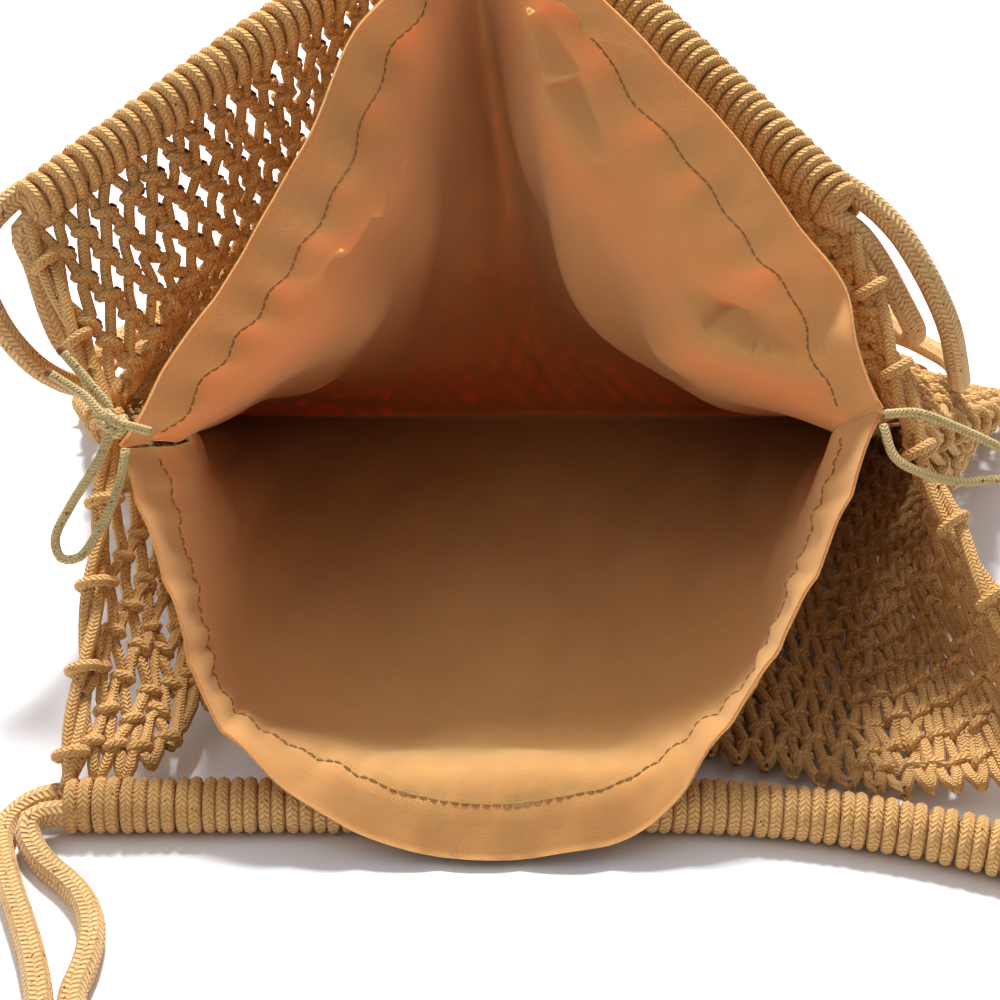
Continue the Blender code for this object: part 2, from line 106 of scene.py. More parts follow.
# The mouth's outline, corner to corner from left to right, as shares of half the mouth's width
# and of its height.
# across, edge x, edge up, waist x, waist up
FLOOR_OUTLINE = (
    (-1.00, -0.970, 0.430, -0.860, 0.385),
    (-0.75, -0.840, 0.285, -0.790, 0.245),
    (-0.50, -0.700, 0.137, -0.690, 0.115),
    (-0.25, -0.380, 0.040, -0.360, 0.045),
    (0.00, 0.000, 0.008, 0.000, 0.035),
    (0.25, 0.405, 0.038, 0.370, 0.048),
    (0.50, 0.665, 0.168, 0.700, 0.137),
    (0.75, 0.870, 0.315, 0.845, 0.270),
    (1.00, 1.025, 0.468, 0.950, 0.400),
)
ROOF_OUTLINE = (
    (-1.00, -0.970, 0.430, -0.860, 0.385),
    (-0.75, -0.740, 0.575, -0.535, 0.495),
    (-0.50, -0.517, 0.730, -0.300, 0.630),
    (-0.25, -0.320, 0.880, -0.190, 0.795),
    (0.00, 0.000, 1.000, -0.040, 0.940),
    (0.25, 0.320, 0.890, 0.140, 0.785),
    (0.50, 0.610, 0.767, 0.345, 0.640),
    (0.75, 0.860, 0.627, 0.600, 0.497),
    (1.00, 1.025, 0.468, 0.950, 0.400),
)

# half, across at its start, across at its end, start, end, height, width
FOLDS = (
    ("floor", -0.45, -0.30, 0.00, 0.16, 0.0022, 0.07),
    ("floor", 0.12, 0.05, 0.00, 0.14, 0.0018, 0.06),
    ("floor", 0.42, 0.30, 0.00, 0.18, 0.0020, 0.06),
    ("roof", 0.80, 0.66, 0.00, 0.30, -0.0060, 0.06),
    ("roof", 0.30, 0.62, 0.10, 0.55, -0.0070, 0.10),
    ("roof", -0.55, -0.40, 0.05, 0.50, 0.0050, 0.10),
)

# Routes of the free cords, in millimetres from the lip's lowest point
HANDLE_FRONT_OUTER = (
    (-122, 24.2, 8.8), (-134.0, 24.6, 8.8), (-140.5, 23.4, 7.4), (-146.5, 18.5, 5), (-148, 9, 4.2),
    (-144, -3, 4.1),
    (-139, -15, 4.1), (-133, -28, 4.1), (-127, -42, 4.1), (-121.5, -58, 4.1), (-117, -78, 4.1),
    (-108, -103, 4.1), (-88, -128, 4.1), (-55, -147, 4.1), (-12, -157, 4.1), (35, -158, 4.1),
    (85, -152, 4.1), (135, -137, 4.1), (175, -111, 4.1), (202, -77, 4.1), (211.5, -52, 4.1),
    (210.5, -35, 4.6), (203, -23.5, 6.6), (193.3, -16.9, 8.8), (183, -12, 8.8),
)  # fmt: skip
HANDLE_FRONT_INNER = (
    (-124, 16.2, 8.8), (-136.6, 14.6, 8.8), (-139.2, 12.8, 8.2), (-139.6, 9.2, 6.8),
    (-136.4, 3.2, 4.8),
    (-130.5, -4, 4.1), (-123, -11.5, 4.1), (-116.5, -20.5, 4.1), (-112.5, -31, 4.1),
    (-111.5, -44, 4.1), (-112.5, -58, 4.1), (-108.3, -75.5, 4.1), (-100.2, -98, 4.1),
    (-82.2, -120.6, 4.1), (-51.3, -138.5, 4.1), (-11, -148, 4.1), (34.6, -149, 4.1),
    (83.3, -143, 4.1), (131, -128.6, 4.1), (169, -104, 4.1), (193, -74, 4.1), (201, -53, 4.1),
    (201, -41, 4.8), (196.5, -32.4, 6.8), (190.2, -25.5, 8.8), (181, -20, 8.8),
)  # fmt: skip
HANDLE_REAR_OUTER = (
    (-146, 145.5, 166), (-156.5, 142.5, 160.9), (-167, 135, 149), (-166, 129, 136),
    (-161, 127, 122),
    (-154, 131, 108), (-148, 141, 97), (-143.5, 154, 89), (-143, 185, 82), (-143, 219, 74),
    (-124, 258, 67), (-78, 290, 57), (-29, 304, 52), (23, 307, 51), (73, 303, 52),
    (121, 290, 57), (159, 257, 67), (174, 217, 73), (171, 183, 82), (164, 154, 91),
    (158, 139, 105), (152, 132, 121), (143, 132, 138), (133, 137, 152), (123, 142, 160.5),
    (112, 146, 167),
)  # fmt: skip
HANDLE_REAR_INNER = (
    (-143, 141, 157), (-153.1, 138.9, 152), (-151, 140.5, 138), (-147, 137, 122),
    (-143.5, 139, 110),
    (-139, 148, 102), (-133, 170, 99), (-117, 214, 98), (-78, 249, 104), (-32, 269, 105),
    (17, 277, 105.5), (62, 269, 105), (103, 248, 104), (137, 212, 98), (148, 180, 100),
    (146.5, 158, 106), (144, 145, 114), (136, 138, 128), (128, 138, 141),
    (118.8, 138.4, 151.8), (108, 141, 157),
)  # fmt: skip
DRAWSTRING_LEFT_LOOP = (
    (-109.8, 62.6, 109.1), (-111, 57, 102), (-113.6, 50.5, 95.3), (-118, 46.5, 88),
    (-123, 43.6, 82.6), (-128, 43.4, 82.4), (-130, 45.8, 87), (-125.6, 50.5, 96),
    (-117.5, 56.5, 107.5), (-113.4, 61, 116), (-113.6, 64, 121.5), (-119, 67.5, 128),
    (-128, 72.7, 137),
)  # fmt: skip
DRAWSTRING_LEFT_SHORT = (
    (-101.5, 61, 116), (-107, 59.5, 118.5), (-112.5, 59.5, 120.2), (-121, 65, 126),
    (-131.5, 69, 131.5),
)  # fmt: skip
DRAWSTRING_RIGHT_UPPER = (
    (119.7, 68.9, 118.1), (128.2, 66.5, 119.6), (138.8, 65.5, 116), (153.9, 63.4, 109.4),
    (164, 61.5, 103.5), (169, 60.5, 96), (171.5, 59, 86), (172.5, 57, 74),
)  # fmt: skip
DRAWSTRING_RIGHT_LOWER = (
    (118.8, 66.9, 115.2), (121.8, 61, 107.5), (129.8, 58.5, 103.4), (141.8, 58, 100.6),
    (153.9, 57.8, 101.4), (162, 57.2, 99.5), (166.5, 56, 92), (168, 54, 81), (167.5, 52, 70),
)  # fmt: skip

LIP = Vector((
    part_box("rim_bar_front")[0][0] - FRONT_BAR_LEFT,
    (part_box("seam_cord_bottom")[0][1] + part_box("seam_cord_bottom")[1][1]) / 2 - NET_BACK,
    0,
))  # where the lip's lowest point is in the frame


# The shapes that the net and the lining follow


def smooth(low, high, value):
    share = min(1.0, max(0.0, (value - low) / (high - low)))
    return share * share * (3 - 2 * share)


def through(stops, values, at):
    """The smooth curve through values at stops, read at one place."""
    last = len(stops) - 1
    k = max(0, min(last - 1, sum(stop <= at for stop in stops) - 1))
    slopes = [(values[i + 1] - values[i]) / (stops[i + 1] - stops[i]) for i in range(last)]
    here = slopes[k] if k == 0 else (slopes[k - 1] + slopes[k]) / 2
    there = slopes[k] if k == last - 1 else (slopes[k] + slopes[k + 1]) / 2
    span = stops[k + 1] - stops[k]
    t = (at - stops[k]) / span
    start = (2 * t**3 - 3 * t**2 + 1) * values[k] + (t**3 - 2 * t**2 + t) * span * here
    end = (3 * t**2 - 2 * t**3) * values[k + 1] + (t**3 - t**2) * span * there
    return start + end


def front_bar(across):
    """A point of the front bar's middle line, from -1 at its left end to 1 at its right."""
    x = FRONT_BAR_LEFT + (across + 1) / 2 * (FRONT_BAR_RIGHT - FRONT_BAR_LEFT)
    turn = max(0.0, (x - FRONT_BAR_BEND_FROM) / (FRONT_BAR_RIGHT - FRONT_BAR_BEND_FROM))
    return Vector((x, FRONT_BAR_BACK - FRONT_BAR_BEND * turn**2, BAR_RADIUS))


def rear_bar(across):
    """A point of the rear bar's middle line, which is raised to a rounded peak."""
    x = across * (REAR_BAR_RIGHT if across > 0 else -REAR_BAR_LEFT)
    rounded = math.hypot(across, REAR_BAR_PEAK) - REAR_BAR_PEAK
    down = rounded / (math.hypot(1, REAR_BAR_PEAK) - REAR_BAR_PEAK)
    y = REAR_BAR_BACK - REAR_BAR_FORWARD * down
    return Vector((x, y, REAR_BAR_TOP - REAR_BAR_DROP * down))


def seam_pull(share, slit):
    return share / slit if share < slit else (1 - share) / (1 - slit)


def net_bottom(across):
    x = NET_LEFT + (across + 1) / 2 * (NET_RIGHT - NET_LEFT)
    return Vector((x, NET_BACK, 2 * PANEL_LIFT))


def seam_top(across):
    return Vector(SEAM_TOP_RIGHT if across > 0 else SEAM_TOP_LEFT)


def front_run(across, share):
    start = front_bar(across)
    point = start.lerp(net_bottom(across), share)
    settled = smooth(0, NET_SETTLE, point.y - start.y - BAR_RADIUS)
    high = start.z + PANEL_LIFT
    point.z = high + (2 * PANEL_LIFT - high) * settled
    return point


def rear_run(across, share):
    start = rear_bar(across) - Vector((0, 0, PANEL_LIFT))
    return start.lerp(net_bottom(across), share)


def net_panel(run, across, share, slit, trough):
    shift = seam_top(across) - run(math.copysign(1, across), slit)
    return run(across, share) + shift * seam_pull(share, slit) * abs(across) ** trough


def front_net(across, share):
    """The front panel lies on the floor and turns up at its sides."""
    point = net_panel(front_run, across, share, FRONT_SLIT, FRONT_TROUGH)
    return point - Vector((0, 0, 2 * PANEL_LIFT - NET_BED))


def rear_net(across, share):
    """The rear panel hangs from its bar to the bottom seam."""
    point = net_panel(rear_run, across, share, REAR_SLIT, REAR_TROUGH)
    return point + Vector((0, 0, PANEL_LIFT))


def share_clear_of(surface, bar, across, room):
    """The share of the depth at which a panel is room away from its bar's middle line."""
    line = [bar(k / BAR_RINGS * 2 - 1) for k in range(BAR_RINGS + 1)]
    low, high = 0.0, 0.3
    for _ in range(16):
        middle = (low + high) / 2
        point = surface(across, middle)
        near = min(
            (point - geometry.intersect_point_line(point, a, b)[0]).length
            for a, b in zip(line, line[1:])
        )
        low, high = (low, middle) if near > room else (middle, high)
    return high


def fold_height(half, across, share):
    total = 0.0
    for fold_half, first, last, start, end, height, width in FOLDS:
        if fold_half == half:
            run = (share - start) / (end - start)
            middle = first + (last - first) * run
            fade = smooth(-0.35, 0.15, run) * (1 - smooth(0.7, 1.2, run))
            total += height * fade * math.exp(-(((across - middle) / width) ** 2))
    return total


def lining_sheet(half, across, share):
    """A point of the lining before its folds, from the mouth at 0 to the seam at 1."""
    outline = FLOOR_OUTLINE if half == "floor" else ROOF_OUTLINE
    stops = [row[0] for row in outline]
    edge_x, edge_up, waist_x, waist_up = (
        through(stops, [row[k] for row in outline], across) for k in (1, 2, 3, 4)
    )
    lean, rise = math.sin(MOUTH_LEAN), math.cos(MOUTH_LEAN)
    edge = Vector((edge_x * MOUTH_HALF, edge_up * MOUTH_TALL * lean, edge_up * MOUTH_TALL * rise))
    waist_z = max(waist_up * MOUTH_TALL * rise, LINING_BED)
    waist = Vector((waist_x * MOUTH_HALF, waist_up * MOUTH_TALL * lean + WAIST_BACK, waist_z))
    seam_x = LINING_LEFT + (across + 1) / 2 * (LINING_RIGHT - LINING_LEFT)
    seam = Vector((seam_x, LINING_BACK, LINING_BED + LINING_CURL * across**4))
    places = (0.0, WAIST_SHARE, 1.0)
    point = Vector(through(places, column, share) for column in zip(edge, waist, seam))
    point.z = max(point.z, 0.0)
    return point


def over_the_bar(point):
    """Lifts a place of the lining's floor over the front bar."""
    reach = (point.x - FRONT_BAR_LEFT) / (FRONT_BAR_RIGHT - FRONT_BAR_LEFT) * 2 - 1
    bar = front_bar(min(1.0, max(-1.0, reach)))
    top = 2 * BAR_RADIUS + BAR_COVER
    away = (point.y - bar.y) / (COVER_BACK if point.y > bar.y else COVER_FRONT)
    cover = top * max(0.0, 1 - away**2) ** 1.3
    point.z = (max(point.z, 0.0) ** 4 + cover**4) ** 0.25
    return point


def lining_place(half, across, share):
    """A point of the middle of the lining's cloth, with its main folds."""
    step = 0.002
    point = lining_sheet(half, across, share)
    along = lining_sheet(half, min(1, across + step), share) - lining_sheet(
        half, max(-1, across - step), share
    )
    back = lining_sheet(half, across, min(1, share + step)) - lining_sheet(
        half, across, max(0, share - step)
    )
    out = along.cross(back).normalized()
    if (out.z < 0) == (half == "roof"):
        out.negate()
    push = fold_height(half, across, share)
    if half == "floor":
        point = over_the_bar(point)
        point.z += push + 0.0003
        return point
    apart = 0.0023 - 0.0013 * smooth(0.9, 1.0, share)
    return point + out * push + Vector((0, 0, apart))


# Meshes


def in_frame(points):
    """Places given from the lip's lowest point, as places in the frame."""
    return np.asarray(points, dtype=float) + np.array(LIP)


def unit(vectors):
    return vectors / np.maximum(np.linalg.norm(vectors, axis=-1, keepdims=True), 1e-12)


def tubes(paths, radii, facing, sides):
    """Round skins along many paths of equally many points.

    paths is (tubes, points, 3), radii fits (tubes, points) and facing fits paths. Returns
    corners, faces and each face corner's place as (millimetres along, share around).
    """
    count, length = paths.shape[:2]
    ahead = unit(np.gradient(paths, axis=1))
    side = unit(np.cross(ahead, np.broadcast_to(facing, paths.shape)))
    up = np.cross(side, ahead)
    angle = 2 * math.pi * np.arange(sides) / sides
    ring = side[:, :, None] * np.cos(angle)[:, None] + up[:, :, None] * np.sin(angle)[:, None]
    radii = np.broadcast_to(radii, (count, length))
    corners = paths[:, :, None] + ring * radii[:, :, None, None]
    far = np.zeros((count, length))
    far[:, 1:] = np.cumsum(np.linalg.norm(np.diff(paths, axis=1), axis=2), axis=1)
    t, i, k = np.meshgrid(
        np.arange(count), np.arange(length - 1), np.arange(sides), indexing="ij"
    )
    after = (k + 1) % sides

    def corner(row, place):
        return (t * length + row) * sides + place

    faces = np.stack([corner(i, k), corner(i, after), corner(i + 1, after), corner(i + 1, k)], -1)
    around = np.stack([k, k + 1, k + 1, k], -1) / sides
    along = np.stack([far[t, i], far[t, i], far[t, i + 1], far[t, i + 1]], -1) * 1000
    places = np.stack([along, around], -1)
    return corners.reshape(-1, 3), faces.reshape(-1, 4), places.reshape(-1, 4, 2)


def joined(*parts):
    """Several sets of corners, faces and places as one."""
    corners, faces, places = [], [], []
    start = 0
    for part_corners, part_faces, part_places in parts:
        corners.append(part_corners)
        faces.append(part_faces + start)
        places.append(part_places)
        start += len(part_corners)
    return np.concatenate(corners), np.concatenate(faces), np.concatenate(places)


def piece(name, parts, finish, replaced=()):
    """A mesh piece of four-sided faces that rides on the bag."""
    corners, faces, places = parts
    mesh = bpy.data.meshes.new(name)
    mesh.from_pydata(corners.tolist(), [], faces.tolist())
    layer = mesh.uv_layers.new(name="Cord")
    layer.data.foreach_set("uv", places.reshape(-1).astype(np.float32))
    mesh.materials.append(finish)
    mesh.shade_smooth()
    made = bpy.data.objects.new(name, mesh)
    bpy.context.collection.objects.link(made)
    if replaced:
        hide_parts(*replaced)
    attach(made, "root")
    return made


def route_points(route, spacing):
    """Points spacing apart on the smooth curve through a route's own points."""
    places = [Vector(point) / 1000 for point in route]
    far = [0.0]
    for first, second in zip(places, places[1:]):
        far.append(far[-1] + (second - first).length)
    count = max(6, math.ceil(far[-1] / spacing) + 1)
    return in_frame([
        [
            through(far, [place[k] for place in places], far[-1] * i / (count - 1))
            for k in range(3)
        ]
        for i in range(count)
    ])


def steady_facing(path):
    """A facing for each point of one path that turns as little as it can."""
    ahead = unit(np.gradient(path, axis=0))
    facing = [np.array((0.0, 0.0, 1.0))]
    if abs(ahead[0][2]) > 0.9:
        facing = [np.array((1.0, 0.0, 0.0))]
    for way in ahead:
        kept = facing[-1] - way * np.dot(facing[-1], way)
        facing.append(kept / np.linalg.norm(kept))
    return np.array(facing[1:])


def rounded_ends(count, radius, room):
    """Radii along a cord that close smoothly at both ends."""
    radii = np.full(count, radius)
    radii[0] = radii[-1] = room
    return radii


def one_cord(path, radius, sides):
    """The skin of one cord, with closed ends."""
    first, last = path[0], path[-1]
    start = unit(path[0] - path[1]) * radius * 0.35
    end = unit(path[-1] - path[-2]) * radius * 0.35
    full = np.concatenate([[first + start], [first + start * 0.8], path, [last + end * 0.8],
                           [last + end]])
    radii = np.full(len(full), radius)
    radii[0] = radii[-1] = radius * 0.02
    radii[1] = radii[-2] = radius * 0.75
    return tubes(full[None], radii[None], steady_facing(full)[None], sides)


# Finishes


def linear(code):
    """An sRGB hex colour as linear red, green, blue and alpha."""
    parts = [int(code[k:k + 2], 16) / 255 for k in (1, 3, 5)]
    return (*(p / 12.92 if p <= 0.04045 else ((p + 0.055) / 1.055) ** 2.4 for p in parts), 1.0)


MATH, MIX = "ShaderNodeMath", "ShaderNodeMix"


def add(tree, kind, *inputs, out=None, **settings):
    """A node with its settings, and its inputs linked or set in order. Returns one output."""
    made = tree.nodes.new(kind)
    for key, value in settings.items():
        setattr(made, key, value)
    for socket, value in zip(made.inputs, inputs):
        if isinstance(value, bpy.types.NodeSocket):
            tree.links.new(value, socket)
        elif value is not None:
            socket.default_value = value
    return made.outputs[out] if out else next(each for each in made.outputs if each.enabled)


def new_finish(name):
    finish = bpy.data.materials.new(name)
    finish.use_nodes = True
    return finish, finish.node_tree, finish.node_tree.nodes["Principled BSDF"]


def braided_cotton(name, light, deep, fleck, columns, stitch, relief, flecks):
    """Cotton yarn braided over a core: V-shaped stitches in columns, and dark husk flecks.

    columns is how many columns of stitches go round the cord and stitch is one stitch's length
    in millimetres. Raw cotton is matt, with a faint sheen where fibres stand off. The valleys
    between the yarns are darkened towards deep as painted shade; deep also tints random patches.
    """
    finish, tree, shader = new_finish(name)

    place = add(tree, "ShaderNodeUVMap", uv_map="Cord")
    far = add(tree, "ShaderNodeSeparateXYZ", place, out="X")
    turn = add(tree, "ShaderNodeSeparateXYZ", place, out="Y")
    column = add(tree, MATH, turn, float(columns), operation="MULTIPLY")
    within = add(tree, MATH, column, operation="FRACT")
    parity = add(tree, MATH, add(tree, MATH, column, operation="FLOOR"), 2.0, operation="MODULO")
    slant = add(tree, MATH, within, add(tree, MATH, parity, 2.0, -1.0, operation="MULTIPLY_ADD"), operation="MULTIPLY")
    step = add(tree, MATH, far, 1.0 / stitch, add(tree, MATH, slant, 0.75, operation="MULTIPLY"), operation="MULTIPLY_ADD")
    yarn = add(tree, MATH, add(tree, MATH, add(tree, MATH, step, math.pi, operation="MULTIPLY"), operation="SINE"), operation="ABSOLUTE")
    crown = add(tree, MATH, add(tree, MATH, within, math.pi, operation="MULTIPLY"), operation="SINE")
    height = add(tree, MATH, add(tree, MATH, yarn, 0.6, operation="POWER"), add(tree, MATH, crown, 0.5, 0.5, operation="MULTIPLY_ADD"), operation="MULTIPLY")
    body = add(tree, "ShaderNodeTexCoord", out="Object")
    husks = add(tree, "ShaderNodeTexNoise", body, None, 900.0, 1.0)
    over = add(tree, MATH, husks, 1.0 - flecks, operation="SUBTRACT")
    over = add(tree, MATH, add(tree, MATH, over, 0.0, operation="MAXIMUM"), 14.0,
               operation="MULTIPLY")
    husk = add(tree, MATH, 1.0, over, operation="MINIMUM")
    patches = add(tree, "ShaderNodeTexNoise", body, None, 60.0, 3.0)
    # Painted shade: the valleys between the yarns are darkened towards the deep colour.
    painted_valley_shade = add(tree, MATH, add(tree, MATH, 1.0, add(tree, MATH, height, 0.7, operation="POWER"), operation="SUBTRACT"), 0.62, operation="MULTIPLY")
    tone = light
    for share, over in ((add(tree, MATH, patches, 0.5, operation="MULTIPLY"), deep), (painted_valley_shade, deep), (husk, fleck)):
        tone = add(tree, MIX, share, *[None] * 5, tone, over, data_type="RGBA")
    fibres = add(tree, "ShaderNodeTexNoise", body, None, 2600.0, 2.0)
    bumps = add(tree, MATH, fibres, 0.18, height, operation="MULTIPLY_ADD")
    bump = add(tree, "ShaderNodeBump", 0.9, relief, None, bumps)
    tree.links.new(tone, shader.inputs["Base Color"])
    tree.links.new(bump, shader.inputs["Normal"])
    shader.inputs["Roughness"].default_value = 0.86
    shader.inputs["Specular IOR Level"].default_value = 0.25
    shader.inputs["Sheen Weight"].default_value = 0.15
    shader.inputs["Sheen Roughness"].default_value = 0.5
    return finish


def woven_cotton(name, light, deep, thread):
    """Plain-woven unbleached cotton, thin enough that light glows through it.

    thread is the spacing of its threads in millimetres. The real cloth has about 0.4 mm threads;
    they are drawn a little coarser so that the weave shows. The gaps between the threads are
    darkened towards deep as painted shade.
    """
    finish, tree, shader = new_finish(name)

    place = add(tree, "ShaderNodeUVMap", uv_map="Cord")
    waves = [
        add(tree, MATH, add(tree, MATH, add(tree, "ShaderNodeSeparateXYZ", place, out=way),
                            math.pi / thread, operation="MULTIPLY"), operation="SINE")
        for way in ("X", "Y")
    ]
    weave = add(tree, MATH, add(tree, MATH, waves[0], waves[1], operation="MULTIPLY"), operation="ABSOLUTE")
    body = add(tree, "ShaderNodeTexCoord", out="Object")
    drawn = add(tree, "ShaderNodeMapping", place, None, None, (0.02, 1.6, 1.0))
    slubs = add(tree, "ShaderNodeTexNoise", drawn, None, 1.0, 2.0)
    patches = add(tree, "ShaderNodeTexNoise", body, None, 28.0, 4.0)
    shade = add(tree, MATH, slubs, 0.25, add(tree, MATH, patches, 0.35, operation="MULTIPLY"), operation="MULTIPLY_ADD")
    # Painted shade: the gaps between the threads are darkened towards the deep colour; shade above is random slub and
    # patch tone.
    gaps = add(tree, MATH, add(tree, MATH, 1.0, weave, operation="SUBTRACT"), 0.22, operation="MULTIPLY")
    tone = light
    for share in (shade, gaps):
        tone = add(tree, MIX, share, *[None] * 5, tone, deep, data_type="RGBA")
    height = add(tree, MATH, slubs, 0.4, weave, operation="MULTIPLY_ADD")
    bump = add(tree, "ShaderNodeBump", 0.35, 0.0004, None, height)
    tree.links.new(tone, shader.inputs["Base Color"])
    tree.links.new(bump, shader.inputs["Normal"])
    shader.inputs["Roughness"].default_value = 0.88
    shader.inputs["Specular IOR Level"].default_value = 0.2
    shader.inputs["Subsurface Weight"].default_value = 0.85
    shader.inputs["Subsurface Radius"].default_value = (1.0, 0.55, 0.24)
    shader.inputs["Subsurface Scale"].default_value = 0.0028
    shader.inputs["Sheen Weight"].default_value = 0.08
    return finish


def plain_thread(name, colour):
    """Spun sewing thread: matt, and too fine for its twist to show."""
    finish, tree, shader = new_finish(name)
    shader.inputs["Base Color"].default_value = colour
    shader.inputs["Roughness"].default_value = 0.8
    return finish


def painted_floor(name, colour):
    """A matt painted studio floor."""
    finish, tree, shader = new_finish(name)
    shader.inputs["Base Color"].default_value = colour
    shader.inputs["Roughness"].default_value = 0.9
    shader.inputs["Specular IOR Level"].default_value = 0.1
    return finish


FINISHES = {}


def finish_of(kind):
    """The finish of a kind of material, made once from the scene's colours."""
    if kind not in FINISHES:
        colours = bpy.context.scene.net_bag_colours
        dark, fleck = tuple(colours.cord_shade), tuple(colours.fleck)
        makers = {
            "net_cord": lambda: braided_cotton(
                "braided_cotton_net_cord", tuple(colours.cord), dark, fleck, 8, 1.35, 0.0006, 0.33),
            "handle_rope": lambda: braided_cotton(
                "braided_cotton_rope", tuple(colours.rope), dark, fleck, 10, 1.9, 0.0008, 0.35),
            "drawstring_cord": lambda: braided_cotton(
                "braided_cotton_drawstring", tuple(colours.string), tuple(colours.string_shade),
                fleck, 6, 1.2, 0.0004, 0.35),
            "lining_cloth": lambda: woven_cotton(
                "plain_woven_cotton", tuple(colours.cloth), tuple(colours.cloth_shade), 0.62),
            "stitching": lambda: plain_thread("spun_sewing_thread", tuple(colours.thread)),
            "fused_tip": lambda: plain_thread("fused_cord_tip", tuple(colours.fleck)),
            "floor": lambda: painted_floor("painted_studio_floor", tuple(colours.floor)),
        }
        FINISHES[kind] = makers[kind]()
    return FINISHES[kind]


# Sizes and colours that a user would change


def length(name, text, default, low, high):
    return FloatProperty(name=name, description=text, default=default, min=low, max=high,
                         unit="LENGTH", precision=5)


def colour(name, text, code):
    return FloatVectorProperty(name=name, description=text, subtype="COLOR", size=4,
                               min=0, max=1, default=linear(code))


class NetBagSizes(bpy.types.PropertyGroup):
    """Sizes of the bag's cords and of its net"""

    cord: length("Net cord", "Diameter of the cord that the net is knotted from", 0.0041,
                 0.002, 0.006)
    rope: length("Handle rope", "Diameter of the braided handle rope", 0.008, 0.005, 0.012)
    string: length("Drawstring", "Diameter of the drawstring", 0.0029, 0.002, 0.004)
    knots: IntProperty(name="Knots across", description="Knots in one row of a net panel",
                       default=38, min=12, max=60)
    rows: IntProperty(name="Rows", description="Rows of knots from a rim bar to the bottom",
                      default=22, min=8, max=40)
    stitch: length("Stitch", "Length of one running stitch of the lining's hem", 0.0026,
                   0.001, 0.005)
    hem: length("Hem", "Distance of the stitching from the lining's edge", 0.0165, 0.005, 0.03)


class NetBagColours(bpy.types.PropertyGroup):
    """Colours of the bag and of the floor"""

    cord: colour("Net cord", "Sunlit side of the net cord", "#F0C47F")
    # Painted shade for the valleys between the cord's yarns, and the tone of random darker patches.
    cord_shade: colour("Cord valleys", "Between the yarns of the cords", "#B9762F")
    rope: colour("Handle rope", "Yarn of the handle rope", "#F6D092")
    string: colour("Drawstring", "Yarn of the drawstring", "#E4CB92")
    # Painted shade for the valleys between the drawstring's yarns, and the tone of random darker patches.
    string_shade: colour("Drawstring valleys", "Between the drawstring's yarns", "#8E7238")
    fleck: colour("Flecks", "Cotton husk flecks and fused cord tips", "#7A4A20")
    cloth: colour("Lining", "Unbleached cotton lining", "#E9B878")
    # Painted shade for the gaps of the lining's weave, and the tone of its slubs and random patches.
    cloth_shade: colour("Lining threads", "Slubs and gaps of the lining's weave", "#BA7234")
    thread: colour("Sewing thread", "Running stitch of the hem", "#A87B45")
    floor: colour("Floor", "Studio floor", "#F8F8FB")


# The net


def panel_knots(surface, bar, rows, knots):
    """Places of the knots of a panel, with the cloth's directions there.

    Odd rows stand half a mesh further right. Each row has one more place, on the edge cord, at
    its left end if it is odd and at its right end if it is even.
    """
    grid = {}
    step = 0.004
    first = {}
    for row in range(-1, rows + 1):
        odd = row % 2
        for column in range(-odd, knots + 1 - odd):
            on_edge = column in (-1, knots)
            across = max(-1.0, min(1.0, (column + 0.25 + 0.5 * odd) / knots * 2 - 1))
            across *= 1 if on_edge else 0.985
            if on_edge:
                across = -1.0 if column == -1 else 1.0
            key = round(across, 4)
            if key not in first:
                first[key] = share_clear_of(surface, bar, across, BAR_RADIUS - 0.003)
            share = first[key] + (1 - first[key]) * (row + 1) / (rows + 0.6)
            share = min(share, 0.995)
            point = surface(across, share)
            ahead = surface(across, min(1, share + step)) - surface(across, share - step)
            aside = surface(min(1, across + step), share) - surface(max(-1, across - step), share)
            out = aside.cross(ahead).normalized()
            ahead.normalize()
            aside = ahead.cross(out).normalized()
            grid[row, column] = (point, aside, ahead, out, on_edge)
    return grid


